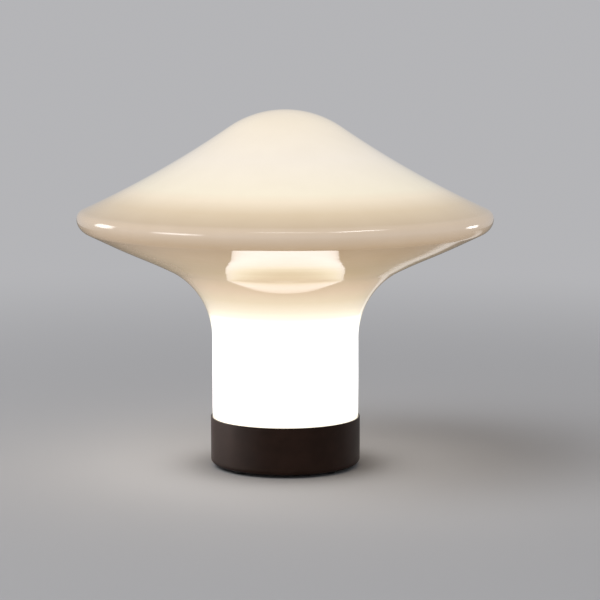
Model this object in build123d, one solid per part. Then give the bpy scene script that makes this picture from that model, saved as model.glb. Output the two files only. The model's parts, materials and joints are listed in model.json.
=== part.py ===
from build123d import *

import os
from math import atan2, cos, degrees, pi, radians, sin, sqrt, tan

# Table lamp: one blown opal glass body stands by its own weight in the rebate of a dark metal base.
# The base holds a flat light unit that shines up into the glass, its driver and the ballast.
# Millimetres. +Z is up, -Y is the front, and the origin is on the table under the middle of the base.

# Glass body, measured on its outside
rim_diameter = 421.0
rim_height = 254.5
rim_upper_radius = 8.0
rim_lower_radius = 15.2
glass_top = 363.2
crown_radius = 101.0
skirt_radius = 998.0
underside_angle = 24.9
neck_radius = 78.8
stem_diameter = 149.0
glass_wall = 4.0
glass_foot_round = 1.0

# Base housing
base_height = 48.0
foot_gap = 3.0
base_edge_radius = 4.5
lip_thickness = 1.4
lip_round = 0.35
seat_depth = 8.0
housing_wall = 5.5
shelf_thickness = 5.0
shelf_width = 14.0
boss_radius = 5.0
boss_hole_depth = 14.0

# Clearances
glass_clearance = 0.3
module_clearance = 0.5
cover_clearance = 0.3
boss_clearance = 0.6
screw_clearance = 0.2
thread_clearance = 0.05
lead_clearance = 0.15
bush_clearance = 0.1

# Silicone ring between glass and metal
gasket_wall = 1.2
gasket_lip_height = 6.0

# Bottom cover, feet and ballast
cover_thickness = 2.5
cover_recess = 0.6
cover_edge_chamfer = 0.5
foot_radius = 6.0
foot_edge_inset = 1.7
foot_recess = 0.8
foot_round = 0.9
ballast_height = 22.0
ballast_width = 20.0
ballast_gap = 1.5
ballast_chamfer = 1.2

# Light unit
spreader_thickness = 4.0
fin_depth = 8.0
fin_thickness = 1.8
fin_inner_radius = 16.0
fin_count = 16
lead_hole_radius = 6.0
board_thickness = 1.6
board_gap = 1.7
led_size = 3.0
led_height = 0.8
led_package_height = 0.55
led_lens_radius = 1.2
led_pitch = 12.0
led_edge_margin = 9.0
led_ring_count = 3
connector_width = 8.0
connector_length = 8.0
connector_height = 4.5
connector_offset = 8.0
connector_chamfer = 0.45

# Diffuser over the light unit and the ring that clamps it
diffuser_wall = 2.0
diffuser_height = 14.0
diffuser_corner = 8.0
diffuser_flange = 1.6
clamp_width = 9.0
clamp_thickness = 2.0
clamp_chamfer = 0.5

# Screws: shank radius, head radius and head height
cover_screw = (2.0, 3.8, 2.0)
module_screw = (1.5, 2.8, 1.8)
board_screw = (1.25, 2.2, 1.4)
fixing_screw = (1.5, 2.7, 1.8)
cover_screw_length = 12.0
module_screw_grip = 4.0
board_screw_length = 4.0
fixing_screw_grip = 2.0
socket_share = 0.5
head_round_share = 0.4

# Driver
driver_length = 62.0
driver_width = 38.0
driver_height = 20.0
driver_chamfer = 1.5
driver_y = -4.0
driver_seam_height = 14.0
driver_seam = 0.5
ear_reach = 8.0
ear_length = 16.0
ear_thickness = 3.0

# Terminal block behind the driver
pole_pitch = 8.0
pole_count = 3
pole_width = 6.4
pole_depth = 9.6
pole_height = 4.3
terminal_depth = 16.0
terminal_height = 13.0
terminal_margin = 1.0
terminal_ear_reach = 7.0
terminal_ear_length = 8.0
terminal_bay_gap = 4.0
terminal_back_gap = 8.0
terminal_screw_radius = 1.9
terminal_screw_height = 4.0
terminal_slot_width = 0.6
terminal_slot_depth = 1.2
terminal_hole_depth = 7.0
wire_hole_radius = 1.3
wire_hole_depth = 5.0
wire_height = 5.5

# Leads inside the base
lead_radius = 0.8
lead_end = 3.0
lead_bend = 6.0
earth_lead_bend = 3.6
led_lead_spacing = 3.6
led_lead_reach = 9.0
earth_lug_radius = 3.6
earth_lug_thickness = 0.8
earth_barrel_wall = 0.5
earth_barrel_start = 4.7
earth_barrel_length = 6.0
earth_x = 26.0
earth_y = 20.0

# Cord inlet in the back of the base
cord_bore_radius = 3.25
bush_radius = 5.0
bush_flange = 1.5
bush_flange_reach = 1.5
bush_round = 0.9
bush_seat_depth = 0.6
inlet_height = 13.0

# Angles about the axis: the cord leaves at the back, at 90 degrees
foot_angles = [45, 135, 225, 315]
boss_angles = [30, 150, 270]
module_screw_angles = [90, 210, 330]
board_screw_angles = [0, 120, 240]

# Radii that follow from the sizes above
rim_radius = rim_diameter / 2
stem_radius = stem_diameter / 2
glass_bore = stem_radius - glass_wall
seat_radius = stem_radius + glass_clearance
base_radius = seat_radius + lip_thickness
wall_radius = base_radius - housing_wall
shelf_radius = wall_radius - shelf_width
boss_circle = shelf_radius + boss_radius
cover_radius = wall_radius - cover_clearance
foot_circle = cover_radius - foot_edge_inset - foot_radius
gasket_outer = seat_radius - glass_clearance
gasket_lip_outer = glass_bore - glass_clearance
gasket_inner = gasket_lip_outer - gasket_wall
spreader_radius = gasket_inner - module_clearance
clamp_inner = spreader_radius - clamp_width
clamp_circle = spreader_radius - clamp_width / 2
diffuser_radius = clamp_inner - module_clearance
board_radius = diffuser_radius - diffuser_wall - board_gap
led_outer_ring = board_radius - led_edge_margin
board_screw_circle = led_outer_ring - led_pitch / 2
fin_outer_radius = shelf_radius - module_clearance
ballast_radius = wall_radius - ballast_gap
ballast_bore = ballast_radius - ballast_width

# Heights that follow from the sizes above
housing_top = foot_gap + base_height
shelf_top = housing_top - seat_depth
shelf_bottom = shelf_top - shelf_thickness
cover_bottom = foot_gap + cover_recess
cover_top = cover_bottom + cover_thickness
glass_foot = shelf_top + gasket_wall
spreader_top = shelf_top + spreader_thickness
fin_bottom = shelf_top - fin_depth
board_top = spreader_top + board_thickness
clamp_bottom = spreader_top + diffuser_flange
clamp_top = clamp_bottom + clamp_thickness
ballast_top = cover_top + ballast_height
driver_top = cover_top + driver_height

# Places of the driver, the terminal block and the leads between them
driver_back = driver_y + driver_length / 2
driver_front = driver_y - driver_length / 2
driver_lead_height = cover_top + driver_height / 2
driver_screw_x = driver_width / 2 + ear_reach / 2
terminal_width = pole_count * pole_pitch + 2 * terminal_margin
earth_barrel_radius = lead_radius + lead_clearance + earth_barrel_wall
terminal_y = wall_radius - bush_flange - terminal_back_gap - terminal_depth / 2
terminal_screw_x = (terminal_width + terminal_ear_reach) / 2
terminal_front = terminal_y - terminal_depth / 2
terminal_wire_height = cover_top + wire_height
driver_fixings = [(side * driver_screw_x, driver_y) for side in (-1, 1)]
terminal_fixings = [(side * terminal_screw_x, terminal_y) for side in (-1, 1)]
led_lead_height = (max(ballast_top, driver_top) + fin_bottom) / 2
connector_wire_height = board_top + connector_height / 2

# A solid that stands on the height it is placed at
standing = (Align.CENTER, Align.CENTER, Align.MIN)


def around(angles, radius, height, shape):
    """Copies of a shape that is modelled at the origin, set on a circle about the axis."""
    return [Rot(0, 0, angle) * Pos(radius, 0, height) * shape for angle in angles]


def even_angles(count):
    return [360 * index / count for index in range(count)]


def turned(points, round_at=None, round_radius=0):
    """Solid of revolution from a closed section of (radius, height) points, with one corner rounded."""
    section = make_face(Polyline(*points, close=True))
    if round_at:
        corner = section.vertices().sort_by_distance((*round_at, 0))[0]
        section = fillet(corner, round_radius)
    return revolve(Plane.XZ * section, Axis.Z)


def post(radius, bottom, top):
    """Upright cylinder between two heights, on the axis."""
    return Pos(0, 0, bottom) * Cylinder(radius, top - bottom, align=standing)


def block(width, length, bottom, top):
    """Upright box between two heights, centred on the axis."""
    return Pos(0, 0, bottom) * Box(width, length, top - bottom, align=standing)


def pan_screw(size, length):
    """Pan-head screw with a hexagon socket: its head stands on z = 0 and its shank hangs below."""
    shank, head, height = size
    body = post(head, 0, height)
    body = fillet(body.edges().group_by(Axis.Z)[-1], height * head_round_share)
    socket = extrude(RegularPolygon(head * socket_share, 6), height * socket_share)
    return body - Pos(0, 0, height * socket_share) * socket + post(shank, -length, 0)


def countersunk_screw(size, length):
    """Countersunk screw with a hexagon socket: its head is flush with z = 0 and its shank points up."""
    shank, head, height = size
    cone = Pos(0, 0, height / 2) * Cone(head, shank, height)
    socket = extrude(RegularPolygon(head * socket_share, 6), height * socket_share)
    return cone + post(shank, height, length) - socket


def tube(points, bends):
    """Round lead along straight runs joined by tangent arcs."""
    path = FilletPolyline(*points, radius=bends)
    section = Plane(origin=path @ 0, z_dir=path % 0) * Circle(lead_radius)
    return sweep(section, path=path)


def glass_outline(inset):
    """Edges of the glass section from its foot up to the top of the crown, moved into the glass by inset.

    The arcs keep their centres, so the stretches stay tangent and the wall has one thickness throughout.
    """
    angle = radians(underside_angle)
    # The rim is tighter above its widest ring than below it
    upper_centre = Vector(rim_radius - rim_upper_radius, rim_height)
    lower_centre = Vector(rim_radius - rim_lower_radius, rim_height)
    crown_centre = Vector(0, glass_top - crown_radius)
    # The skirt is hollow: its arc touches the crown's and the upper rim's circles from outside
    between = upper_centre - crown_centre
    to_crown = skirt_radius + crown_radius
    to_rim = skirt_radius + rim_upper_radius
    along = (to_crown**2 - to_rim**2 + between.length**2) / (2 * between.length)
    across = sqrt(to_crown**2 - along**2)
    direction = between.normalized()
    skirt_centre = crown_centre + direction * along + Vector(-direction.Y, direction.X) * across
    # The neck's arc leaves the stem upright and runs into the underside's slope
    rim_low = lower_centre + Vector(sin(angle), -cos(angle)) * rim_lower_radius
    neck_end_radius = stem_radius + neck_radius * (1 - sin(angle))
    neck_end_height = rim_low.Y - (rim_low.X - neck_end_radius) * tan(angle)
    neck_centre = Vector(stem_radius + neck_radius, neck_end_height - neck_radius * cos(angle))

    def bearing(start, end):
        return degrees(atan2(end.Y - start.Y, end.X - start.X))

    rim_start = underside_angle - 90
    rim_stop = bearing(upper_centre, skirt_centre)
    skirt_start = bearing(skirt_centre, upper_centre) % 360
    skirt_stop = bearing(skirt_centre, crown_centre) % 360
    crown_start = bearing(crown_centre, skirt_centre)
    neck = CenterArc(neck_centre, neck_radius + inset, 180, underside_angle - 90)
    lower_rim = CenterArc(lower_centre, rim_lower_radius - inset, rim_start, -rim_start)
    upper_rim = CenterArc(upper_centre, rim_upper_radius - inset, 0, rim_stop)
    skirt = CenterArc(skirt_centre, skirt_radius + inset, skirt_start, skirt_stop - skirt_start)
    crown = CenterArc(crown_centre, crown_radius - inset, crown_start, 90 - crown_start)
    stem = Line((stem_radius - inset, glass_foot), neck @ 0)
    underside = Line(neck @ 1, lower_rim @ 0)
    return [stem, neck, underside, lower_rim, upper_rim, skirt, crown]


def glass_body():
    """Blown glass in one piece: stem, flared neck, wide rim and domed crown, open only at its foot."""
    outside = glass_outline(0)
    inside = glass_outline(glass_wall)
    foot = Line(outside[0] @ 0, inside[0] @ 0)
    top = Line(outside[-1] @ 1, inside[-1] @ 1)
    body = revolve(Plane.XZ * make_face(outside + [top] + inside + [foot]), Axis.Z)
    return fillet(body.edges().group_by(Axis.Z)[0], glass_foot_round)


def base_housing():
    """Turned ring with a rebate for the glass, a shelf for the light unit and bosses for the cover."""
    bottom_corner = (base_radius, foot_gap)
    section = [
        (wall_radius, foot_gap),
        bottom_corner,
        (base_radius, housing_top),
        (seat_radius, housing_top),
        (seat_radius, shelf_top),
        (shelf_radius, shelf_top),
        (shelf_radius, shelf_bottom),
        (wall_radius, shelf_bottom),
    ]
    ring = turned(section, bottom_corner, base_edge_radius)
    ring = fillet(ring.edges().group_by(Axis.Z)[-1], lip_round)
    boss = post(boss_radius, cover_top, shelf_bottom)
    boss_hole = post(cover_screw[0] + thread_clearance, cover_top, cover_top + boss_hole_depth)
    module_hole = post(module_screw[0] + thread_clearance, shelf_bottom, shelf_top)
    ring = ring + around(boss_angles, boss_circle, 0, boss)
    ring = ring - around(boss_angles, boss_circle, 0, boss_hole)
    ring = ring - around(module_screw_angles, clamp_circle, 0, module_hole)
    return ring - inlet_hole()


def inlet_hole():
    """Hole for the cord bush through the back wall, with a flat seat for the bush's outer flange."""
    flange = bush_radius + bush_flange_reach + bush_clearance
    seat = Pos(0, 0, base_radius - bush_seat_depth) * post(flange, 0, 2 * bush_seat_depth)
    hole = post(bush_radius + bush_clearance, wall_radius - bush_radius, base_radius)
    return Pos(0, 0, inlet_height) * Rot(-90, 0, 0) * (seat + hole)


def cord_bush():
    """Flanged rubber bush that lines the inlet; its groove holds the housing's wall."""
    seat = base_radius - bush_seat_depth
    flange = bush_radius + bush_flange_reach
    # The inner flange is flat and the wall behind it is round, so it stands clear of the wall's middle
    sagitta = wall_radius - sqrt(wall_radius**2 - flange**2)
    inner = wall_radius - sagitta - bush_clearance
    outer = seat + bush_flange
    section = [
        (cord_bore_radius, inner - bush_flange),
        (flange, inner - bush_flange),
        (flange, inner),
        (bush_radius, inner),
        (bush_radius, seat),
        (flange, seat),
        (flange, outer),
        (cord_bore_radius, outer),
    ]
    bush = turned(section, (flange, outer), bush_round)
    return Pos(0, 0, inlet_height) * Rot(-90, 0, 0) * bush


def glass_gasket():
    """Silicone ring of L section: the glass stands on its foot, and its lip centres the glass."""
    lip_top = glass_foot + gasket_lip_height
    section = [
        (gasket_inner, shelf_top),
        (gasket_outer, shelf_top),
        (gasket_outer, glass_foot),
        (gasket_lip_outer, glass_foot),
        (gasket_lip_outer, lip_top),
        (gasket_inner, lip_top),
    ]
    return turned(section)


def bottom_cover():
    """Steel disc that closes the base, with seats for the feet and holes for everything screwed to it."""
    disc = post(cover_radius, cover_bottom, cover_top)
    disc = chamfer(disc.edges().group_by(Axis.Z)[0], cover_edge_chamfer)
    shank, head, height = cover_screw
    sink = Pos(0, 0, height / 2) * Cone(head, shank, height)
    sink = sink + post(shank + screw_clearance, 0, cover_thickness)
    foot_seat = post(foot_radius + bush_clearance, 0, foot_recess)
    disc = disc - around(boss_angles, boss_circle, cover_bottom, sink)
    disc = disc - around(foot_angles, foot_circle, cover_bottom, foot_seat)
    tapped = post(fixing_screw[0] + thread_clearance, cover_bottom, cover_top)
    for x, y in [(earth_x, earth_y), *driver_fixings, *terminal_fixings]:
        disc = disc - Pos(x, y, 0) * tapped
    return disc


def rubber_feet():
    """Round bumpers set in the cover's seats; the lamp stands on their flat undersides."""
    foot = post(foot_radius, 0, cover_bottom + foot_recess)
    foot = fillet(foot.edges().group_by(Axis.Z)[0], foot_round)
    return around(foot_angles, foot_circle, 0, foot)


def cover_screws():
    screw = countersunk_screw(cover_screw, cover_screw_length)
    return around(boss_angles, boss_circle, cover_bottom, screw)


def ballast_ring():
    """Cast iron ring on the cover, open at the back for the terminal block and bored for the bosses."""
    ring = post(ballast_radius, cover_top, ballast_top) - post(ballast_bore, cover_top, ballast_top)
    ring = chamfer(ring.edges().group_by(Axis.Z)[-1], ballast_chamfer)
    boss_hole = post(boss_radius + boss_clearance, cover_top, ballast_top)
    ring = ring - around(boss_angles, boss_circle, 0, boss_hole)
    bay_width = terminal_width + 2 * (terminal_ear_reach + terminal_bay_gap)
    bay = block(bay_width, 3 * ballast_width, cover_top, ballast_top)
    return ring - Pos(0, ballast_radius, 0) * bay


def heat_spreader():
    """Aluminium disc on the shelf that carries the board, with radial fins in the space below it."""
    disc = post(spreader_radius, shelf_top, spreader_top)
    fin_length = fin_outer_radius - fin_inner_radius
    fin = block(fin_length, fin_thickness, fin_bottom, shelf_top)
    fin = Pos(fin_inner_radius + fin_length / 2, 0, 0) * fin
    disc = disc + [Rot(0, 0, angle) * fin for angle in even_angles(fin_count)]
    disc = disc - post(lead_hole_radius, fin_bottom, spreader_top)
    module_hole = post(module_screw[0] + screw_clearance, shelf_top, spreader_top)
    disc = disc - around(module_screw_angles, clamp_circle, 0, module_hole)
    board_hole = post(board_screw[0] + thread_clearance, shelf_top, spreader_top)
    return disc - around(board_screw_angles, board_screw_circle, 0, board_hole)


def led_board():
    """Round metal-core board with a hole in its middle for the leads."""
    board = post(board_radius, spreader_top, board_top) - post(lead_hole_radius, spreader_top, board_top)
    hole = post(board_screw[0] + screw_clearance, spreader_top, board_top)
    return board - around(board_screw_angles, board_screw_circle, 0, hole)


def light_emitters():
    """Small square LEDs in rings, each with a round lens on its face."""
    package = block(led_size, led_size, 0, led_package_height)
    emitter = package + post(led_lens_radius, led_package_height, led_height)
    placed = []
    for index in range(led_ring_count):
        radius = led_outer_ring - index * led_pitch
        count = round(2 * pi * radius / led_pitch)
        placed += around(even_angles(count), radius, board_top, emitter)
    return placed


def led_connector():
    """Push-in connector on the board; its wire holes face the hole that the leads come through."""
    body = block(connector_width, connector_length, board_top, board_top + connector_height)
    body = chamfer(body.edges().group_by(Axis.Z)[-1], connector_chamfer)
    body = Pos(0, connector_offset + connector_length / 2, 0) * body
    for side in (-1, 1):
        body = body - Pos(side * led_lead_spacing / 2, connector_offset, connector_wire_height) * lead_hole()
    return body


def board_screws():
    screw = pan_screw(board_screw, board_screw_length)
    return around(board_screw_angles, board_screw_circle, board_top, screw)


def diffuser():
    """Opal cover over the board: a low drum with rounded shoulders and a flange that the ring clamps."""
    top = spreader_top + diffuser_height
    inner = diffuser_radius - diffuser_wall
    shell = turned(
        [(0, clamp_bottom), (diffuser_radius, clamp_bottom), (diffuser_radius, top), (0, top)],
        (diffuser_radius, top),
        diffuser_corner,
    )
    hollow = turned(
        [(0, spreader_top), (inner, spreader_top), (inner, top - diffuser_wall), (0, top - diffuser_wall)],
        (inner, top - diffuser_wall),
        diffuser_corner - diffuser_wall,
    )
    flange = post(spreader_radius, spreader_top, clamp_bottom)
    hole = post(module_screw[0] + screw_clearance, spreader_top, clamp_bottom)
    return shell + flange - hollow - around(module_screw_angles, clamp_circle, 0, hole)


def clamp_ring():
    """Aluminium ring that holds the diffuser's flange down."""
    ring = post(spreader_radius, clamp_bottom, clamp_top) - post(clamp_inner, clamp_bottom, clamp_top)
    ring = chamfer(ring.edges().group_by(Axis.Z)[-1], clamp_chamfer)
    hole = post(module_screw[0] + screw_clearance, clamp_bottom, clamp_top)
    return ring - around(module_screw_angles, clamp_circle, 0, hole)


def module_screws():
    """Screws through the ring, the diffuser's flange and the spreader into the shelf."""
    length = clamp_top - shelf_top + module_screw_grip
    return around(module_screw_angles, clamp_circle, clamp_top, pan_screw(module_screw, length))


def led_driver():
    """Closed plastic driver case with a lid seam, an ear on each side and a hole for each lead."""
    case = block(driver_width, driver_length, cover_top, driver_top)
    case = chamfer(case.edges().group_by(Axis.Z)[-1], driver_chamfer)
    seam_low = cover_top + driver_seam_height
    seam = block(driver_width, driver_length, seam_low, seam_low + driver_seam)
    core = block(driver_width - 2 * driver_seam, driver_length - 2 * driver_seam, cover_top, driver_top)
    case = case - (seam - core)
    ears = block(driver_width + 2 * ear_reach, ear_length, cover_top, cover_top + ear_thickness)
    ears = fillet(ears.edges().filter_by(Axis.Z), ear_reach / 3)
    case = case + ears
    for side in (-1, 1):
        case = case - Pos(side * driver_screw_x, 0, 0) * ear_hole()
    case = Pos(0, driver_y, 0) * case
    for side in (-1, 1):
        led_place = Pos(side * led_lead_spacing / 2, driver_front, driver_lead_height)
        mains_place = Pos(mains_x(side), driver_back - wire_hole_depth, driver_lead_height)
        case = case - led_place * lead_hole() - mains_place * lead_hole()
    return case


def lead_hole():
    """Hole that takes the end of a lead, running back from the origin along +Y."""
    return Rot(-90, 0, 0) * post(lead_radius + lead_clearance, 0, wire_hole_depth)


def ear_hole():
    return post(fixing_screw[0] + screw_clearance, cover_top, cover_top + ear_thickness)


def ear_screws(places):
    """Screws that hold a moulding's ears down on the cover."""
    screw = pan_screw(fixing_screw, ear_thickness + fixing_screw_grip)
    return [Pos(x, y, cover_top + ear_thickness) * screw for x, y in places]


def mains_x(side):
    """Place of the live lead, on side -1, and the neutral lead, on side 1, at the driver's back."""
    return (side - 1) * pole_pitch / 2


def pole_xs():
    return [(index - (pole_count - 1) / 2) * pole_pitch for index in range(pole_count)]


def terminal_block():
    """Moulded block with end ears, and a raised barrel, a screw well and a wire hole for each pole."""
    top = cover_top + terminal_height
    body = block(terminal_width, terminal_depth, cover_top, top - pole_height)
    well = post(terminal_screw_radius + screw_clearance, top - terminal_hole_depth, top)
    wire = Rot(-90, 0, 0) * post(wire_hole_radius, -terminal_depth / 2, terminal_depth / 2)
    for x in pole_xs():
        body = body + Pos(x, 0, 0) * block(pole_width, pole_depth, cover_top, top)
    ear_span = terminal_width + 2 * terminal_ear_reach
    body = body + block(ear_span, terminal_ear_length, cover_top, cover_top + ear_thickness)
    for x in pole_xs():
        body = body - Pos(x, 0, 0) * well - Pos(x, 0, terminal_wire_height) * wire
    for side in (-1, 1):
        body = body - Pos(side * terminal_screw_x, 0, 0) * ear_hole()
    return Pos(0, terminal_y, 0) * body


def terminal_screws():
    """Slotted grub screws in the block's wells, standing on the wells' floors."""
    floor = cover_top + terminal_height - terminal_hole_depth
    top = floor + terminal_screw_height
    screw = post(terminal_screw_radius, floor, top)
    slot = block(2 * terminal_screw_radius, terminal_slot_width, top - terminal_slot_depth, top)
    return [Pos(x, terminal_y, 0) * (screw - slot) for x in pole_xs()]


def earth_lug():
    """Ring tag under the earth screw, with the barrel that is crimped on the earth lead."""
    top = cover_top + earth_lug_thickness
    ring = post(earth_lug_radius, cover_top, top)
    neck = block(2 * earth_barrel_radius, earth_barrel_start, cover_top, top)
    neck = Pos(0, earth_barrel_start / 2, 0) * neck
    bore = post(lead_radius + lead_clearance, 0, earth_barrel_length)
    barrel = Rot(-90, 0, 0) * (post(earth_barrel_radius, 0, earth_barrel_length) - bore)
    barrel = Pos(0, earth_barrel_start, cover_top + earth_barrel_radius) * barrel
    screw_hole = post(fixing_screw[0] + screw_clearance, cover_top, top)
    return Pos(earth_x, earth_y, 0) * (ring + neck + barrel - screw_hole)


def earth_screw():
    screw = pan_screw(fixing_screw, earth_lug_thickness + fixing_screw_grip)
    return Pos(earth_x, earth_y, cover_top + earth_lug_thickness) * screw


def mains_lead(side):
    """Lead from a pole of the terminal block to the driver's back, with a gentle double bend."""
    pole_x = pole_xs()[0] if side < 0 else pole_xs()[1]
    run = (terminal_front - driver_back) / 3
    points = [
        (pole_x, terminal_front + lead_end, terminal_wire_height),
        (pole_x, terminal_front - run, terminal_wire_height),
        (mains_x(side), driver_back + run, driver_lead_height),
        (mains_x(side), driver_back - lead_end, driver_lead_height),
    ]
    return tube(points, lead_bend)


def earth_lead():
    """Lead from the terminal block's last pole to the earth lug on the cover."""
    pole_x = pole_xs()[-1]
    barrel_height = cover_top + earth_barrel_radius
    barrel_mouth = earth_y + earth_barrel_start + earth_barrel_length
    run = (terminal_front - barrel_mouth) / 3
    points = [
        (pole_x, terminal_front + lead_end, terminal_wire_height),
        (pole_x, terminal_front - run, terminal_wire_height),
        (earth_x, barrel_mouth + run, barrel_height),
        (earth_x, barrel_mouth - lead_end, barrel_height),
    ]
    return tube(points, earth_lead_bend)


def led_lead(side):
    """Lead from the driver's front, over the driver and up through the spreader to the connector."""
    x = side * led_lead_spacing / 2
    turn_y = driver_front - led_lead_reach
    points = [
        (x, driver_front + lead_end, driver_lead_height),
        (x, turn_y, driver_lead_height),
        (x, turn_y, led_lead_height),
        (x, 0, led_lead_height),
        (x, 0, connector_wire_height),
        (x, connector_offset + lead_end, connector_wire_height),
    ]
    return tube(points, lead_bend)


pieces = {
    "glass_body": glass_body(),
    "base_housing": base_housing(),
    "glass_gasket": glass_gasket(),
    "bottom_cover": bottom_cover(),
    "rubber_feet": rubber_feet(),
    "cover_screws": cover_screws(),
    "ballast_ring": ballast_ring(),
    "cord_bush": cord_bush(),
    "heat_spreader": heat_spreader(),
    "led_board": led_board(),
    "leds": light_emitters(),
    "led_connector": led_connector(),
    "board_screws": board_screws(),
    "diffuser": diffuser(),
    "diffuser_clamp_ring": clamp_ring(),
    "light_unit_screws": module_screws(),
    "led_driver": led_driver(),
    "driver_screws": ear_screws(driver_fixings),
    "terminal_block": terminal_block(),
    "terminal_block_screws": ear_screws(terminal_fixings),
    "terminal_screws": terminal_screws(),
    "earth_lug": earth_lug(),
    "earth_screw": earth_screw(),
    "live_lead": mains_lead(-1),
    "neutral_lead": mains_lead(1),
    "earth_lead": earth_lead(),
    "led_lead_positive": led_lead(1),
    "led_lead_negative": led_lead(-1),
}

os.makedirs("parts", exist_ok=True)
for name, piece in pieces.items():
    solids = piece if isinstance(piece, list) else [piece]
    shape = Compound(children=solids) if len(solids) > 1 else solids[0]
    export_step(shape, f"parts/{name}.step")
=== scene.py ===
# %% [markdown]
# A table lamp of blown opal glass
# The lamp is one hollow body of glass that stands in a dark metal base. A light unit in the base shines
# up into the glass, so the stem glows white, the neck fades, and the cap is lit from within. The packed
# model is the frame: it gives every piece its place and size. This lesson adds what the frame lacks: a
# fine glass surface and a finish for every piece.

import json
from math import atan2, cos, pi, radians, sin, sqrt, tan

import bpy
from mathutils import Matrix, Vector


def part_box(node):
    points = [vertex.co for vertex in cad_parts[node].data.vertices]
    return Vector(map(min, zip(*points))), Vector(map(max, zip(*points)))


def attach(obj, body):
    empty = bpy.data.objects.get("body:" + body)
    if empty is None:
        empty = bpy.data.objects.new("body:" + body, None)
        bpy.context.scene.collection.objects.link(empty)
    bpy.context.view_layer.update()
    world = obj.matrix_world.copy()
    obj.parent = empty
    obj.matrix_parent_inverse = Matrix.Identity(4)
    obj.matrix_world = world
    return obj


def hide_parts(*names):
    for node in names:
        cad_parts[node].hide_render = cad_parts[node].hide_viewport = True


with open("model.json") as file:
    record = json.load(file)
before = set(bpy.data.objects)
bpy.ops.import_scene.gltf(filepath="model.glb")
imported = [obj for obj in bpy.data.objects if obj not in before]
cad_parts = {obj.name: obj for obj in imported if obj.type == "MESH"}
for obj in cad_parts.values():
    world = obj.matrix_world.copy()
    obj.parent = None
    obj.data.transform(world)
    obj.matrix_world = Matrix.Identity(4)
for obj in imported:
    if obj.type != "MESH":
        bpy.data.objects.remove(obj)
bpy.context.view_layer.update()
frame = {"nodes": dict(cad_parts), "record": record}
nodes = frame["nodes"]

# %% [markdown]
# Camera
# The lamp is seen from a little above its rim, from far away and through a long lens, so that its
# outline is nearly flat. The camera looks down and turns a little to the right, which puts the lamp left
# of the middle. A Track To constraint could aim it at a point, but two angles say the same more plainly.

# %% Camera
camera_distance = 2.260
camera_height = 0.459
camera_down = radians(7.295)
camera_turn = radians(-0.379)
focal_length = 134.4
sensor_width = 36.0

camera = bpy.data.objects.new("camera", bpy.data.cameras.new("camera"))
camera.data.lens = focal_length
camera.data.sensor_width = sensor_width
camera.location = (0, -camera_distance, camera_height)
camera.rotation_euler = (pi / 2 - camera_down, 0, camera_turn)
bpy.context.scene.collection.objects.link(camera)
bpy.context.scene.camera = camera
bpy.context.scene.view_settings.view_transform = "Standard"
print("camera at", tuple(round(value, 3) for value in camera.location))

# %% [markdown]
# Writing nodes as expressions
# A node tree is easier to read as arithmetic than as a list of links. A Wire holds one socket of a tree.
# Adding or multiplying wires makes Math nodes, and its method named node makes any other kind. The same
# class serves materials, lights and geometry trees, because all of them share their Math nodes.


# %% Wires
class Wire:
    """One socket of a node tree; arithmetic on wires adds Math nodes to that tree."""

    def __init__(self, tree, socket=None):
        self.tree = tree
        self.socket = socket

    def node(self, kind, settings=None, sockets=None, output=0):
        """Adds a node, sets its settings first, then the values or links of its sockets."""
        made = self.tree.nodes.new(kind)
        for name, value in (settings or {}).items():
            if name == "stops":
                fill_ramp(made.color_ramp, value)
            else:
                setattr(made, name, value)
        for name, value in (sockets or {}).items():
            if isinstance(value, Wire):
                self.tree.links.new(value.socket, made.inputs[name])
            else:
                made.inputs[name].default_value = value
        return Wire(self.tree, made.outputs[output] if made.outputs else None)

    def beside(self, name):
        """Another output of the same node."""
        return Wire(self.tree, self.socket.node.outputs[name])

    def math(self, operation, *values):
        return self.node("ShaderNodeMath", {"operation": operation}, dict(enumerate(values)))

    def __add__(self, other):
        return self.math("ADD", self, other)

    def __sub__(self, other):
        return self.math("SUBTRACT", self, other)

    def __rsub__(self, other):
        return self.math("SUBTRACT", other, self)

    def __mul__(self, other):
        return self.math("MULTIPLY", self, other)

    def __truediv__(self, other):
        return self.math("DIVIDE", self, other)

    def __rtruediv__(self, other):
        return self.math("DIVIDE", other, self)

    def __pow__(self, other):
        return self.math("POWER", self, other)

    __radd__ = __add__
    __rmul__ = __mul__


def fill_ramp(ramp, stops):
    """Sets a colour ramp's stops from (place, colour) pairs, in order."""
    while len(ramp.elements) < len(stops):
        ramp.elements.new(1.0)
    for element, (place, colour) in zip(ramp.elements, stops):
        element.position = place
        element.color = (*colour, 1.0)


print("wire operators ready")

# %% [markdown]
# Finishes
# Every finish starts from Blender's Principled shader. Numbers that are the same all over are set on the
# shader's own sockets, and only what changes over the surface is linked. Patterns read Object
# coordinates, which are metres in the lamp's own frame, so a grain has the same scale on every piece.

# %% Finish helper
cloud_edges = 0.35, 0.65


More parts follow.
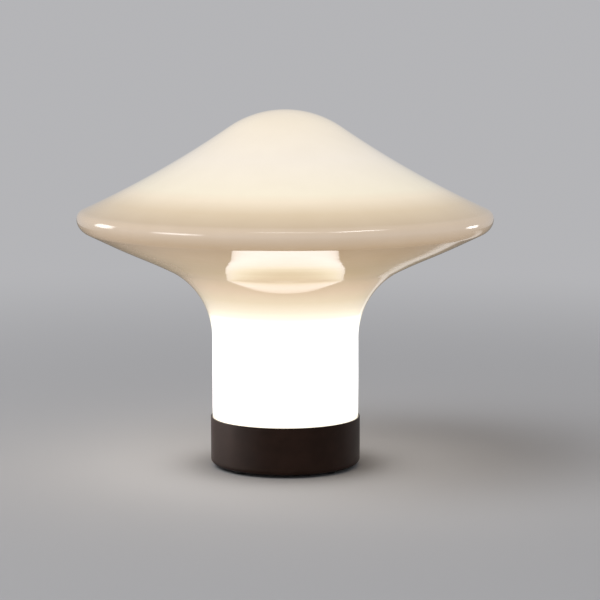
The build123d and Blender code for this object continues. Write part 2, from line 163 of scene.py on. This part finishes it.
class Finish:
    """One material: its shader's sockets, and wires to feed them."""

    def __init__(self, name, **constants):
        self.material = bpy.data.materials.new(name)
        self.material.use_nodes = True
        self.wire = Wire(self.material.node_tree)
        self.shader = self.material.node_tree.nodes["Principled BSDF"]
        for socket, value in constants.items():
            self.shader.inputs[socket.replace("_", " ")].default_value = value
        self.place = self.wire.node("ShaderNodeTexCoord", output="Object")

    def feed(self, socket, wire):
        self.material.node_tree.links.new(wire.socket, self.shader.inputs[socket])

    def axes(self):
        """The object's own x, y and z as three wires."""
        split = self.wire.node("ShaderNodeSeparateXYZ", sockets={0: self.place})
        return [split.beside(name) for name in "XYZ"]

    def radius(self):
        """Distance from the lamp's axis."""
        x, y, _ = self.axes()
        return (x * x + y * y) ** 0.5

    def grain(self, size):
        """Noise with lumps of about this size, from 0 to 1."""
        sockets = {"Vector": self.place, "Scale": 1 / size}
        return self.wire.node("ShaderNodeTexNoise", sockets=sockets)

    def ramp(self, factor, stops):
        return self.wire.node("ShaderNodeValToRGB", {"stops": stops}, {"Fac": factor})

    def clouds(self, size, *shades):
        """Soft patches of two shades."""
        return self.ramp(self.grain(size), list(zip(cloud_edges, shades)))

    def spread(self, factor, low, high):
        """A 0 to 1 factor stretched from low to high."""
        sockets = {"Value": factor, "To Min": low, "To Max": high}
        return self.wire.node("ShaderNodeMapRange", sockets=sockets)

    def bump(self, height, depth):
        """Feeds the normal with a relief of this depth in metres."""
        sockets = {"Height": height, "Distance": depth, "Strength": 1.0}
        self.feed("Normal", self.wire.node("ShaderNodeBump", sockets=sockets))


print("finish helper ready")

# %% [markdown]
# The glass outline
# The glass is a solid of revolution. Seen from the side it is a chain of stretches that run into each
# other without a corner: the stem, the flare of the neck, the underside, the rim, which is tighter above
# its widest ring than below it, the hollow skirt and the crown. Each is a line or an arc, so a handful of
# sizes gives the whole outline. Moving every arc by the wall thickness, about the same centre, gives the
# inside. A blown underside is never quite straight, and its gloss shows that in what it mirrors. Bump
# could fake it, but only for the milky part below the gloss, so the outline itself gets one slow wave, a
# quarter of a millimetre deep, and rings of a few thousandths.

# %% Sizes of the glass
glass_low, glass_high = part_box("glass_body")
rim_radius = glass_high.x
glass_top = glass_high.z
glass_foot = glass_low.z
rim_height = 0.2545
rim_upper_radius = 0.008
rim_lower_radius = 0.0152
crown_radius = 0.101
skirt_radius = 0.998
underside_angle = radians(24.9)
neck_radius = 0.0788
stem_radius = 0.0745
glass_wall = 0.004
foot_round = 0.001
print("rim radius", round(rim_radius, 4), "top", round(glass_top, 4))


# %% Lines, arcs and the wave of the underside
underside_lift = radians(1.0)
wave_share = 0.77
ring_length = 0.0085
slow_ring_length = 0.0162
ring_height = 0.000008


def arc(centre, radius, start, stop, count):
    """Points of (radius, height) along an arc, both ends included."""
    steps = [start + (stop - start) * index / count for index in range(count + 1)]
    return [(centre.x + radius * cos(step), centre.y + radius * sin(step)) for step in steps]


def line(start, stop, count):
    """Points between two ends, without the ends."""
    shares = [index / count for index in range(1, count)]
    return [tuple(Vector(start).lerp(Vector(stop), share)) for share in shares]


def wavy(start, stop, slope, count):
    """Points between two ends that both point along slope: one slow wave with small rings on it."""
    ahead = Vector((cos(slope), sin(slope)))
    across = Vector((-ahead.y, ahead.x))
    reach = (stop - start).dot(ahead)
    drop = (stop - start).dot(across)
    points = []
    for index in range(1, count):
        share = index / count
        turn = min(share / wave_share, 1) * 2 * pi
        travel = share * reach * 2 * pi
        rings = sin(travel / ring_length) + sin(travel / slow_ring_length)
        rise = drop * (turn - sin(turn)) / (2 * pi) + ring_height * rings * sin(share * pi)
        points.append(tuple(start + ahead * share * reach + across * rise))
    return points


print("wave over", wave_share, "of the underside, rings of", ring_length, "and", slow_ring_length)


# %% Centres of the arcs
def outer_centre(first, second, first_reach, second_reach):
    """The point at these distances from two centres, on the outer side of the line between them."""
    between = second - first
    along = (first_reach**2 - second_reach**2 + between.length_squared) / (2 * between.length)
    across = sqrt(first_reach**2 - along**2)
    ahead = between.normalized()
    return first + ahead * along + Vector((-ahead.y, ahead.x)) * across


upper_centre = Vector((rim_radius - rim_upper_radius, rim_height))
lower_centre = Vector((rim_radius - rim_lower_radius, rim_height))
crown_centre = Vector((0, glass_top - crown_radius))
to_crown = skirt_radius + crown_radius
to_rim = skirt_radius + rim_upper_radius
skirt_centre = outer_centre(crown_centre, upper_centre, to_crown, to_rim)
rim_low = lower_centre + Vector((sin(underside_angle), -cos(underside_angle))) * rim_lower_radius
neck_end = stem_radius + neck_radius * (1 - sin(underside_angle))
neck_top = rim_low.y - (rim_low.x - neck_end) * tan(underside_angle)
neck_height = neck_top - neck_radius * cos(underside_angle)
neck_centre = Vector((stem_radius + neck_radius, neck_height))
print("neck centre", tuple(round(value, 4) for value in neck_centre))

# %% Outline of one side of the wall
crown_steps = 24
skirt_steps = 24
upper_rim_steps = 12
lower_rim_steps = 14
underside_steps = 45
neck_steps = 24
stem_steps = 10
outside_density = 2
inside_density = 1


def bearing(start, end):
    """Angle of the way from one centre to another."""
    return atan2(end.y - start.y, end.x - start.x)


def glass_outline(inset, density):
    """Points from the crown's top down to the foot, moved into the glass by inset."""
    crown_stop = bearing(crown_centre, skirt_centre)
    skirt_start = bearing(skirt_centre, crown_centre)
    skirt_stop = bearing(skirt_centre, upper_centre)
    rim_start = bearing(upper_centre, skirt_centre)
    steepest = underside_angle + underside_lift
    crown = arc(crown_centre, crown_radius - inset, pi / 2, crown_stop, crown_steps * density)
    skirt = arc(skirt_centre, skirt_radius + inset, skirt_start, skirt_stop, skirt_steps * density)
    upper_rim = arc(upper_centre, rim_upper_radius - inset, rim_start, 0, upper_rim_steps * density)
    rim_stop = steepest - pi / 2
    lower_rim = arc(lower_centre, rim_lower_radius - inset, 0, rim_stop, lower_rim_steps * density)
    neck = arc(neck_centre, neck_radius + inset, pi / 2 + steepest, pi, neck_steps * density)
    underside_ends = Vector(neck[0]), Vector(lower_rim[-1])
    underside = wavy(*underside_ends, steepest, underside_steps * density)[::-1]
    stem_end = (stem_radius - inset, glass_foot + foot_round)
    stem = line(neck[-1], stem_end, stem_steps * density)
    return crown + skirt[1:] + upper_rim[1:] + lower_rim[1:] + underside + neck + stem


outside = glass_outline(0, outside_density)
inside = glass_outline(glass_wall, inside_density)
print("outline points:", len(outside), "outside,", len(inside), "inside")

# %% The whole wall, with its ground foot
foot_steps = 6
foot_outer = Vector((stem_radius - foot_round, glass_foot + foot_round))
foot_inner = Vector((stem_radius - glass_wall + foot_round, glass_foot + foot_round))
foot = arc(foot_outer, foot_round, 0, -pi / 2, foot_steps)
foot += arc(foot_inner, foot_round, -pi / 2, -pi, foot_steps)
glass_section = outside + foot + inside[::-1]
print("section points:", len(glass_section))

# %% [markdown]
# Turning the section
# The real body is blown into a turning mould, which a lathe copies. The Screw modifier would do, but a
# lathe is a rule, so it is written as Geometry Nodes, where each step can be read. A grid has one row for
# each point of the section and one column for each step round the axis. Every point of the grid looks up
# its row's radius and height and swings round by its column's angle. The seam and the two poles are then
# merged.

# %% Lathe tree
seam_distance = 1e-6


def lathe_tree():
    """Turns the points of a section round the z axis in a number of steps."""
    tree = bpy.data.node_groups.new("lathe", "GeometryNodeTree")
    for name, kind in (("Section", "Geometry"), ("Steps", "Int"), ("Finish", "Material")):
        tree.interface.new_socket(name, in_out="INPUT", socket_type="NodeSocket" + kind)
    tree.interface.new_socket("Turned", in_out="OUTPUT", socket_type="NodeSocketGeometry")
    wire = Wire(tree)
    section = wire.node("NodeGroupInput", output="Section")
    steps = section.beside("Steps")
    rows = wire.node("GeometryNodeAttributeDomainSize", sockets={"Geometry": section})
    columns = steps + 1
    grid = wire.node("GeometryNodeMeshGrid", sockets={"Vertices X": rows, "Vertices Y": columns})
    index = wire.node("GeometryNodeInputIndex")
    row = wire.math("FLOOR", (index + 0.5) / columns)
    angle = (index - row * columns) * (2 * pi) / steps
    lookup = {"data_type": "FLOAT_VECTOR", "domain": "POINT"}
    position = wire.node("GeometryNodeInputPosition")
    sample = {"Geometry": section, "Value": position, "Index": row}
    found = wire.node("GeometryNodeSampleIndex", lookup, sample)
    radius = wire.node("ShaderNodeSeparateXYZ", sockets={0: found})
    ahead = radius * wire.math("COSINE", angle)
    aside = radius * wire.math("SINE", angle)
    place = {"X": ahead, "Y": aside, "Z": radius.beside("Z")}
    swung = wire.node("ShaderNodeCombineXYZ", sockets=place)
    turned = wire.node("GeometryNodeSetPosition", sockets={"Geometry": grid, "Position": swung})
    closing = {"Geometry": turned, "Distance": seam_distance}
    merged = wire.node("GeometryNodeMergeByDistance", sockets=closing)
    smooth = wire.node("GeometryNodeSetShadeSmooth", sockets={"Geometry": merged})
    real = wire.node("GeometryNodeRealizeInstances", sockets={"Geometry": smooth})
    dress = {"Geometry": real, "Material": section.beside("Finish")}
    finished = wire.node("GeometryNodeSetMaterial", sockets=dress)
    wire.node("NodeGroupOutput", sockets={"Turned": finished})
    return tree


lathe = lathe_tree()
print("lathe nodes:", len(lathe.nodes))


# %% Turn a section into a piece
def turned_piece(name, section, steps, finish):
    """A plain mesh turned from (radius, height) points."""
    profile = bpy.data.meshes.new(name + "_section")
    profile.from_pydata([(radius, 0, height) for radius, height in section], [], [])
    carrier = bpy.data.objects.new(name + "_section", profile)
    bpy.context.scene.collection.objects.link(carrier)
    modifier = carrier.modifiers.new("lathe", "NODES")
    modifier.node_group = lathe
    sockets = [item for item in lathe.interface.items_tree if item.in_out == "INPUT"]
    inputs = {socket.name: socket.identifier for socket in sockets}
    modifier[inputs["Steps"]] = steps
    modifier[inputs["Finish"]] = finish
    evaluated = carrier.evaluated_get(bpy.context.evaluated_depsgraph_get())
    mesh = bpy.data.meshes.new_from_object(evaluated)
    bpy.data.objects.remove(carrier)
    mesh.name = name
    piece = bpy.data.objects.new(name, mesh)
    bpy.context.scene.collection.objects.link(piece)
    print(name, "faces:", len(mesh.polygons))
    return piece


# %% [markdown]
# Opal glass, lit from inside
# The glass is milky under a fire-polished skin. The light unit sits low in the stem, so the stem is white
# hot, the neck fades with height, and the light that passes the neck falls on the crown as a wide round
# patch that fades towards the rim. A real scattering volume would be slow and grainy, so the glow is
# written as light that the surface gives off: by height up to the widest ring, and by distance from the
# axis above it. The skin is the shader's clear coat, not its specular, because a coat also holds back the
# glow below it where it is seen at a slant: that draws the soft edges of the cap and mirrors the stem
# under it. The milky colour is a painted shade: a dull taupe, darker than the glass itself. It is also a
# little cloudy, as opal is where the gather was thicker.

# %% Glow by height and by distance from the axis
glow_strength = 4.0
rim_glow = (0.122, 0.098, 0.075)
stem_glow = [
    (0.050, (0.29, 0.27, 0.22)),
    (0.062, (0.78, 0.76, 0.74)),
    (0.115, (0.84, 0.84, 0.85)),
    (0.138, (0.66, 0.655, 0.64)),
    (0.150, (0.55, 0.54, 0.46)),
    (0.155, (0.44, 0.42, 0.34)),
    (0.160, (0.305, 0.272, 0.219)),
    (0.168, (0.233, 0.206, 0.162)),
    (0.178, (0.190, 0.159, 0.112)),
    (0.190, (0.165, 0.126, 0.087)),
    (0.210, (0.120, 0.087, 0.045)),
    (0.240, (0.090, 0.060, 0.031)),
    (rim_height, rim_glow),
]
cap_glow = [
    (0.0, (0.180, 0.162, 0.134)),
    (0.045, (0.182, 0.167, 0.139)),
    (0.100, (0.188, 0.177, 0.157)),
    (0.150, (0.192, 0.180, 0.144)),
    (0.162, (0.186, 0.163, 0.125)),
    (0.182, (0.138, 0.111, 0.073)),
    (0.203, (0.105, 0.081, 0.052)),
    (rim_radius, rim_glow),
]
print("glow stops:", len(stem_glow), "by height,", len(cap_glow), "by distance")

# %% Opal finish
# Painted shade: both opal shades are a dark taupe, darker than the glass itself; the tone between them
# varies at random.
painted_shade_thin_opal = (0.33, 0.26, 0.19)
painted_shade_thick_opal = (0.35, 0.28, 0.21)
opal_cloud = 0.03
skin_roughness = 0.03
skin_ior = 1.7
lathe_steps = 192


def glow_ramp(finish, measure, reach, glow):
    """Colour by a measure in metres; the ramp itself runs from 0 to 1 over the reach."""
    return finish.ramp(measure / reach, [(place / reach, shade) for place, shade in glow])


def opal_glass():
    skin = {"Coat_Weight": 1.0, "Coat_Roughness": skin_roughness, "Coat_IOR": skin_ior}
    light = {"Emission_Strength": glow_strength}
    finish = Finish("opal_glass", Specular_IOR_Level=0.0, **light, **skin)
    height = finish.axes()[2]
    below = glow_ramp(finish, height, rim_height, stem_glow)
    above = glow_ramp(finish, finish.radius(), rim_radius, cap_glow)
    upper = finish.wire.math("GREATER_THAN", height, rim_height)
    sides = {"Factor": upper, "A": below, "B": above}
    glow = finish.wire.node("ShaderNodeMix", {"data_type": "RGBA"}, sides, "Result")
    finish.feed("Emission Color", glow)
    # Base colour: a painted shade, cloudy dark taupe.
    finish.feed("Base Color", finish.clouds(opal_cloud, painted_shade_thin_opal, painted_shade_thick_opal))
    return finish.material


opal = opal_glass()
glass = turned_piece("opal_glass_body", glass_section, lathe_steps, opal)
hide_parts("glass_body")
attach(glass, "glass")

# %% [markdown]
# Coats and rubber
# The base is turned metal under a dark brown powder coat, which bakes to a fine orange peel: grains a
# little under a millimetre, rough, with hardly any mirror. The cover below has the same coat in black.
# The feet and the cord bush are moulded rubber: darker, duller and with a finer skin. The gasket is pale
# silicone, and the ballast is rough cast iron. A material for each could be drawn by hand in the editor,
# but one function makes them all, because they differ only in colour, grain and sheen.

# %% Grained dark finishes
grains_in_cloud = 30
dull_range = 0.1


def grained(name, dark, light, grain, depth, dull, sheen):
    """Matt coat or skin: cloudy colour between two shades over a fine grain."""
    finish = Finish(name, Specular_IOR_Level=sheen)
    skin = finish.grain(grain)
    finish.feed("Base Color", finish.clouds(grains_in_cloud * grain, dark, light))
    finish.feed("Roughness", finish.spread(skin, dull - dull_range, dull + dull_range))
    finish.bump(skin, depth)
    return finish.material


brown = (0.022, 0.010, 0.006), (0.030, 0.014, 0.009)
black = (0.026, 0.026, 0.027), (0.036, 0.036, 0.038)
soot = (0.016, 0.016, 0.016), (0.027, 0.026, 0.025)
milk = (0.60, 0.60, 0.57), (0.72, 0.72, 0.69)
grey = (0.085, 0.08, 0.075), (0.16, 0.15, 0.14)
brown_coat = grained("dark_coat", *brown, grain=0.0008, depth=0.00004, dull=0.42, sheen=0.12)
black_coat = grained("black_coat", *black, grain=0.0006, depth=0.00004, dull=0.55, sheen=0.4)
rubber = grained("black_rubber", *soot, grain=0.0004, depth=0.00003, dull=0.8, sheen=0.3)
silicone = grained("clear_silicone", *milk, grain=0.0010, depth=0.00001, dull=0.35, sheen=0.5)
iron = grained("cast_iron", *grey, grain=0.0022, depth=0.00025, dull=0.6, sheen=0.5)
print("coats and skins: 5")

# %% [markdown]
# Bare metals
# Zinc on the screws is thin and slightly patchy, with a hint of blue and straw. Brass tarnishes in
# clouds. Both are full metals whose colour and roughness wander a little. The aluminium disc and ring
# come from a lathe, so their faces carry fine rings about the axis. Rings this fine would need a very
# dense mesh, so they are a bump: a sine of the radius, made uneven by a line of noise.

# %% Plated metals
plated_roughness = 0.22, 0.42
plated_depth = 0.000006
grains_in_patch = 8


def plated(name, cool, warm, patch):
    finish = Finish(name, Metallic=1.0)
    finish.feed("Base Color", finish.clouds(patch, cool, warm))
    skin = finish.grain(patch / grains_in_patch)
    finish.feed("Roughness", finish.spread(skin, *plated_roughness))
    finish.bump(skin, plated_depth)
    return finish.material


zinc = plated("zinc", (0.58, 0.60, 0.64), (0.66, 0.64, 0.58), patch=0.004)
brass = plated("brass", (0.74, 0.56, 0.25), (0.62, 0.44, 0.19), patch=0.003)
print("plated metals: 2")

# %% Turned aluminium
turned_roughness = 0.2, 0.45
turned_depth = 0.00001
lumps_in_ring = 0.35


def machined(name, colour, pitch):
    finish = Finish(name, Metallic=1.0, Base_Color=(*colour, 1))
    radius = finish.radius()
    band = {"W": radius / pitch, "Scale": lumps_in_ring}
    uneven = finish.wire.node("ShaderNodeTexNoise", {"noise_dimensions": "1D"}, band)
    rings = finish.wire.math("SINE", radius * (2 * pi / pitch)) * uneven
    finish.feed("Roughness", finish.spread(uneven, *turned_roughness))
    finish.bump(rings, turned_depth)
    return finish.material


aluminium = machined("turned_aluminium", (0.75, 0.76, 0.77), pitch=0.0006)
print("turned metals: 1")

# %% [markdown]
# Plastics and leads
# Moulded cases have a spark-eroded skin: a very fine grain over an even colour. The insulation of the
# leads is smoother, and the earth lead is green with a yellow stripe. A stripe could be unwrapped onto
# the lead, but a lead this thin shows only that it is striped, so slanting bands of Object coordinates
# are enough.

# %% Plastics
white = (0.78, 0.78, 0.76), (0.84, 0.84, 0.82)
white_plastic = grained("white_plastic", *white, grain=0.0004, depth=0.00002, dull=0.5, sheen=0.45)
lead_shades = {
    "brown_insulation": (0.2, 0.08, 0.035),
    "blue_insulation": (0.05, 0.17, 0.5),
    "red_insulation": (0.5, 0.04, 0.03),
    "black_insulation": (0.03, 0.03, 0.03),
}
lead_grain = 0.0005
lead_skin = {"grain": lead_grain, "depth": 0.000008, "dull": 0.4, "sheen": 0.5}
worn_share = 0.85
insulation = {}
for lead, shade in lead_shades.items():
    worn = tuple(worn_share * value for value in shade)
    insulation[lead] = grained(lead, worn, shade, **lead_skin)
print("plain leads:", len(insulation))

# %% Striped lead
stripe_pitch = 0.003
stripe_edges = 0.58, 0.62
stripe_shades = (0.05, 0.34, 0.06), (0.75, 0.6, 0.05)
lead_roughness = 0.3, 0.5


def striped_insulation(name):
    finish = Finish(name, Specular_IOR_Level=0.5)
    x, y, z = finish.axes()
    band = finish.wire.math("PINGPONG", (x + y + z) / stripe_pitch, 1.0)
    finish.feed("Base Color", finish.ramp(band, list(zip(stripe_edges, stripe_shades))))
    finish.feed("Roughness", finish.spread(finish.grain(lead_grain), *lead_roughness))
    return finish.material


insulation["green_insulation"] = striped_insulation("green_insulation")
print("leads:", len(insulation))

# %% [markdown]
# The board and its lights
# The board is white enamel over copper rings that stand out a little under it. Each light on it is a
# white package with a yellow lens. They could be split into two pieces, but a test of height tells them
# apart in one material. The opal cover above glows most over the rings of lights.

# %% Rings of lights
light_ring_pitch = 0.012
light_ring_radius = 0.0463


def ring_distance(finish):
    """0 on a ring of lights, 1 halfway between two rings."""
    half = light_ring_pitch / 2
    return finish.wire.math("PINGPONG", finish.radius() - light_ring_radius, half) / half


print("rings of lights every", light_ring_pitch)

# %% Board
copper_edges = 0.45, 0.55
enamel_shades = (0.86, 0.87, 0.86), (0.79, 0.81, 0.79)
copper_relief = (1, 1, 1), (0, 0, 0)
copper_depth = 0.00003
enamel_grain = 0.002
enamel_roughness = 0.18, 0.3


def board_enamel():
    finish = Finish("board_enamel", Specular_IOR_Level=0.5)
    ring = ring_distance(finish)
    finish.feed("Base Color", finish.ramp(ring, list(zip(copper_edges, enamel_shades))))
    finish.feed("Roughness", finish.spread(finish.grain(enamel_grain), *enamel_roughness))
    finish.bump(finish.ramp(ring, list(zip(copper_edges, copper_relief))), copper_depth)
    return finish.material


enamel = board_enamel()
print("board finish:", enamel.name)

# %% Lights on the board
lens_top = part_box("leds")[1].z
lens_depth = 0.000225
package_shades = [(0.0, (0.9, 0.9, 0.87)), (1.0, (0.95, 0.72, 0.2))]
package_light = [(0.0, (0.0, 0.0, 0.0)), (1.0, (1.0, 0.82, 0.5))]


def light_package():
    finish = Finish("light_package", Roughness=0.3, Emission_Strength=2.0)
    lens = finish.wire.math("GREATER_THAN", finish.axes()[2], lens_top - lens_depth)
    finish.feed("Base Color", finish.ramp(lens, package_shades))
    finish.feed("Emission Color", finish.ramp(lens, package_light))
    return finish.material


light_face = light_package()
print("lens top at", round(lens_top, 4))

# %% Opal cover
cover_glow = [(0.0, (1.0, 0.93, 0.80)), (1.0, (0.5, 0.44, 0.34))]
cover_grain = 0.0008
cover_roughness = 0.3, 0.42


def opal_cover():
    finish = Finish("opal_cover", Emission_Strength=0.5, Base_Color=(0.66, 0.65, 0.62, 1))
    finish.feed("Emission Color", finish.ramp(ring_distance(finish), cover_glow))
    finish.feed("Roughness", finish.spread(finish.grain(cover_grain), *cover_roughness))
    return finish.material


cover = opal_cover()
print("cover finish:", cover.name)

# %% [markdown]
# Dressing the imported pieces
# The record names a material slot for every node, so each node takes its finish from its slot. A list of
# nodes could do the same, but it would have to be kept in step with the record. The pieces that came from
# CAD keep their meshes: only what covers them changes.

# %% Finish by slot
finishes = {
    "opal_glass": opal,
    "dark_coated_metal": brown_coat,
    "clear_silicone": silicone,
    "black_steel": black_coat,
    "black_rubber": rubber,
    "zinc_screw": zinc,
    "ballast_iron": iron,
    "bare_aluminium": aluminium,
    "white_board": enamel,
    "led_phosphor": light_face,
    "opal_acrylic": cover,
    "white_plastic": white_plastic,
    "terminal_brass": brass,
    **insulation,
}
subparts = frame["record"]["subparts"]
for part in subparts:
    nodes[part["node"]].material_slots[0].material = finishes[part["material_slot"]]
print("dressed nodes:", len(subparts))

# %% [markdown]
# Floor and backdrop
# A plain pale floor fades into a grey backdrop, so no horizon cuts through the lamp. A curved sheet of
# paper would do it in a studio. Here one flat floor is enough: away from the lamp its lit shade turns
# into the even shade that the world shows behind it.


# %% Stage helpers
def even_beyond(finish, near_shader, colour, measure, start, stop):
    """Turns a shader softly into one even shade as a measure goes from start to stop."""
    tree = finish.material.node_tree
    sockets = {"Value": measure, "From Min": start, "From Max": stop}
    beyond = finish.wire.node("ShaderNodeMapRange", {"interpolation_type": "SMOOTHSTEP"}, sockets)
    even = finish.wire.node("ShaderNodeEmission", sockets={"Color": (*colour, 1)})
    mixed = finish.wire.node("ShaderNodeMixShader", sockets={0: beyond, 1: near_shader, 2: even})
    tree.links.new(mixed.socket, tree.nodes["Material Output"].inputs["Surface"])
    return finish.material


def stage_sheet(name, low, high, height, finish):
    """A flat rectangle between two (x, y) corners, at a height, with one finish."""
    corners = (low, (high[0], low[1]), high, (low[0], high[1]))
    mesh = bpy.data.meshes.new(name)
    mesh.from_pydata([(x, y, height) for x, y in corners], [], [(0, 1, 2, 3)])
    mesh.materials.append(finish)
    sheet = bpy.data.objects.new(name, mesh)
    bpy.context.scene.collection.objects.link(sheet)
    return sheet


print("stage helpers ready")

# %% Floor
floor_size = 30.0
floor_colour = (0.53, 0.53, 0.54)
backdrop_colour = (0.46, 0.46, 0.475)
fade_start = 0.4
fade_end = 1.8


def pale_floor():
    """Pale matt floor that turns into the backdrop's even shade away from the lamp."""
    finish = Finish("floor", Base_Color=(*floor_colour, 1), Specular_IOR_Level=0.0)
    lit = Wire(finish.material.node_tree, finish.shader.outputs[0])
    return even_beyond(finish, lit, backdrop_colour, finish.radius(), fade_start, fade_end)


stage_sheet("floor", (-floor_size, -floor_size), (floor_size, floor_size), 0, pale_floor())
print("floor fades from", fade_start, "to", fade_end)

# %% [markdown]
# A dark card
# Where gloss turns away from the eye it mirrors nearly all that lies behind it, so the edges of the
# underside would melt into the pale floor. Photographers of glass lay a dark card behind it, out of the
# picture, and its reflection draws the edge. Only reflections show this one. It casts no shadow, and it
# comes in softly from its near side, so that the dark line has no inner border. An edge painted dark in
# the glass would be simpler, but it would be wrong from every other side.

# %% Dark card
card_colour = (0.15, 0.15, 0.15)
card_half_width = 0.8
card_near = 0.1
card_soft = 0.65
card_far = 3.0
card_height = 0.003


def soft_card():
    """An even dark shade that comes in softly from the near side of the card."""
    finish = Finish("dark_card")
    clear = finish.wire.node("ShaderNodeBsdfTransparent")
    ahead = finish.axes()[1]
    return even_beyond(finish, clear, card_colour, ahead, card_near, card_near + card_soft)


card_low = (-card_half_width, card_near)
card_high = (card_half_width, card_far)
card = stage_sheet("dark_card", card_low, card_high, card_height, soft_card())
card.visible_camera = False
card.visible_diffuse = False
card.visible_transmission = False
card.visible_shadow = False
print("card from", card_low, "to", card_high)

# %% [markdown]
# Light
# One large soft light hangs high on the left, a little to the front, and lights everything, so the right
# of the cap is a shade darker. It is left out of reflections, because a real room would not mirror one
# sharp square in the cap. The other lights do the opposite: gloss shows only what it mirrors, so they are
# there to be mirrored, and they add nothing to the level of the scene. Two behind the lamp draw the
# bright spots at the ends of its rim, three before and above it draw the thin lines along the rim, and
# two low ones draw the pale band under the right of the cap and the sheen on the left of the base. Each
# fades to its edges, as a window does behind a blind, so that no reflection ends in a hard line.


# %% Lights
def soft_light(name, place, target, width, height, radiance, mirrored=True):
    """Light that faces a target and fades to its edges; radiance is how bright its middle looks.
    It is either mirrored or lights what it faces."""
    data = bpy.data.lights.new(name, "AREA")
    data.shape = "RECTANGLE"
    data.size = width
    data.size_y = height
    data.energy = radiance * pi * width * height
    data.use_nodes = True
    wire = Wire(data.node_tree)
    spot = wire.node("ShaderNodeNewGeometry", output="Parametric")
    side = wire.node("ShaderNodeSeparateXYZ", sockets={0: spot})
    across = side * 2 - 1
    along = side.beside("Y") * 2 - 1
    fade = (1 - across * across) * (1 - along * along)
    data.node_tree.links.new(fade.socket, data.node_tree.nodes["Emission"].inputs["Strength"])
    lamp = bpy.data.objects.new(name, data)
    lamp.location = place
    lamp.rotation_euler = (Vector(place) - Vector(target)).to_track_quat("Z", "Y").to_euler()
    lamp.visible_camera = False
    lamp.visible_glossy = mirrored
    lamp.visible_diffuse = not mirrored
    bpy.context.scene.collection.objects.link(lamp)


left_rim = (-0.17, -0.12, 0.26)
right_rim = (0.17, -0.12, 0.26)
front_rim = (0, -0.2, 0.26)
soft_light("above_left", (-2.2, -1.2, 4.0), (0, 0, 0.2), 4.8, 4.8, 3.3, mirrored=False)
soft_light("left_back", (-1.95, 0.78, 0.52), left_rim, 0.8, 1.0, 7.0)
soft_light("right_back", (1.38, 0.68, 0.13), right_rim, 0.42, 0.30, 8.0)
soft_light("left_front", (-1.80, -1.16, 0.38), front_rim, 1.3, 0.8, 6.0)
soft_light("front", (0, -1.2, 2.0), front_rim, 1.2, 0.30, 4.5)
soft_light("right_above", (0.81, -0.65, 1.60), front_rim, 1.0, 0.35, 7.5)
soft_light("right_low", (0.36, 0.47, 0.01), (0.36, 0.47, 1.0), 0.8, 0.28, 0.6)
soft_light("left_low", (-0.45, 0.02, 0.11), (-0.21, 0.02, -0.65), 0.36, 0.6, 21.0)
print("lights:", len(bpy.data.lights))

# %% [markdown]
# The world
# The world gives the even light that comes from all round in a pale room. To the eye, and to what gloss
# mirrors, it shows the backdrop's shade instead. A large painted sphere round the lamp could do the same,
# but the kind of ray that reaches the world already tells the two apart.

# %% World
ambient_colour = (0.34, 0.34, 0.35)
seeing_rays = ("Camera", "Glossy", "Transmission")

world = bpy.data.worlds.new("studio")
world.use_nodes = True
bpy.context.scene.world = world
studio = Wire(world.node_tree)
light_path = studio.node("ShaderNodeLightPath")
camera_ray, glossy_ray, passing_ray = [light_path.beside(f"Is {ray} Ray") for ray in seeing_rays]
backdrop_seen = studio.math("MINIMUM", camera_ray + glossy_ray + passing_ray, 1.0)
sky_sockets = {"Factor": backdrop_seen, "A": (*ambient_colour, 1), "B": (*backdrop_colour, 1)}
sky = studio.node("ShaderNodeMix", {"data_type": "RGBA"}, sky_sockets, "Result")
world.node_tree.links.new(sky.socket, world.node_tree.nodes["Background"].inputs["Color"])
print("ambient", ambient_colour, "backdrop", backdrop_colour)
